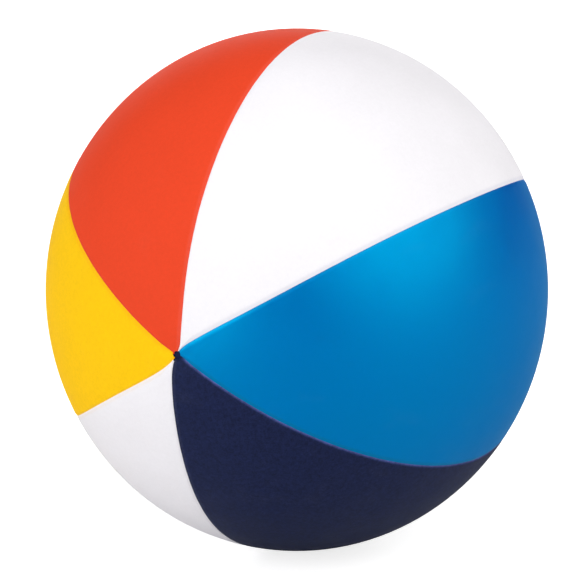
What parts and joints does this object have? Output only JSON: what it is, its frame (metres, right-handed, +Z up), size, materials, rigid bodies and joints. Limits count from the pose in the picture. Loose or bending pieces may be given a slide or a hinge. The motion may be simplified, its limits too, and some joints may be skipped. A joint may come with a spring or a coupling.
{
  "type": "inflatable beach ball",
  "caption": "Inflatable beach ball of coloured film gores welded edge to edge between two poles, with a push-in air valve and captive plug.",
  "frame": {"origin": "centre of the inflated ball", "axes": "the gores run from the front pole at -Y to the rear pole at +Y; +Z up, along the ball's slightly longer axis; +X to the right as seen from in front of the front pole"},
  "size_m": [0.2994, 0.3008, 0.3128],
  "materials": {
    "film_white": "matt, fine-grained plasticised PVC film",
    "film_red": "matt, fine-grained plasticised PVC film",
    "film_yellow": "matt, fine-grained plasticised PVC film",
    "film_navy": "matt, fine-grained plasticised PVC film",
    "film_light_blue": "matt, fine-grained plasticised PVC film",
    "valve_vinyl": "soft moulded PVC, milky clear, satin"
  },
  "bodies": {
    "shell": {"gore_white_upper": "film_white", "gore_red": "film_red", "gore_yellow": "film_yellow", "gore_white_lower": "film_white", "gore_navy": "film_navy", "gore_light_blue": "film_light_blue", "front_pole_patch": "film_navy", "rear_pole_cap": "film_white", "valve_flange": "valve_vinyl", "valve_skirt": "valve_vinyl"},
    "stem": {"valve_stem": "valve_vinyl"},
    "strap": {"plug_strap": "valve_vinyl"},
    "plug": {"valve_plug": "valve_vinyl"},
    "flap": {"check_flap": "valve_vinyl"}
  },
  "joints": [
    {"name": "valve_slide", "type": "slide", "parent": "shell", "child": "stem", "axis": [0.3803, 0.7177, 0.5833], "range_m": [0, 0.014], "deforming": ["valve_skirt"]},
    {"name": "strap_swing", "type": "hinge", "parent": "stem", "child": "strap", "pos_m": [0.06722, 0.10122, 0.09448], "axis": [0.2731, 0.5154, -0.8122], "range_deg": [0, 140]},
    {"name": "plug_tilt", "type": "hinge", "parent": "strap", "child": "plug", "pos_m": [0.06308, 0.10408, 0.0949], "axis": [0.2731, 0.5154, -0.8122], "range_deg": [-84, 0]},
    {"name": "flap_open", "type": "hinge", "parent": "stem", "child": "flap", "pos_m": [0.04679, 0.09897, 0.08618], "axis": [0.2731, 0.5154, -0.8122], "range_deg": [0, 55], "stiffness_Nm_per_rad": 0.0002, "springref_deg": -11.46}
  ],
  "couplings": [
    {"joint": "plug_tilt", "follows": "strap_swing", "ratio": -0.6}
  ]
}
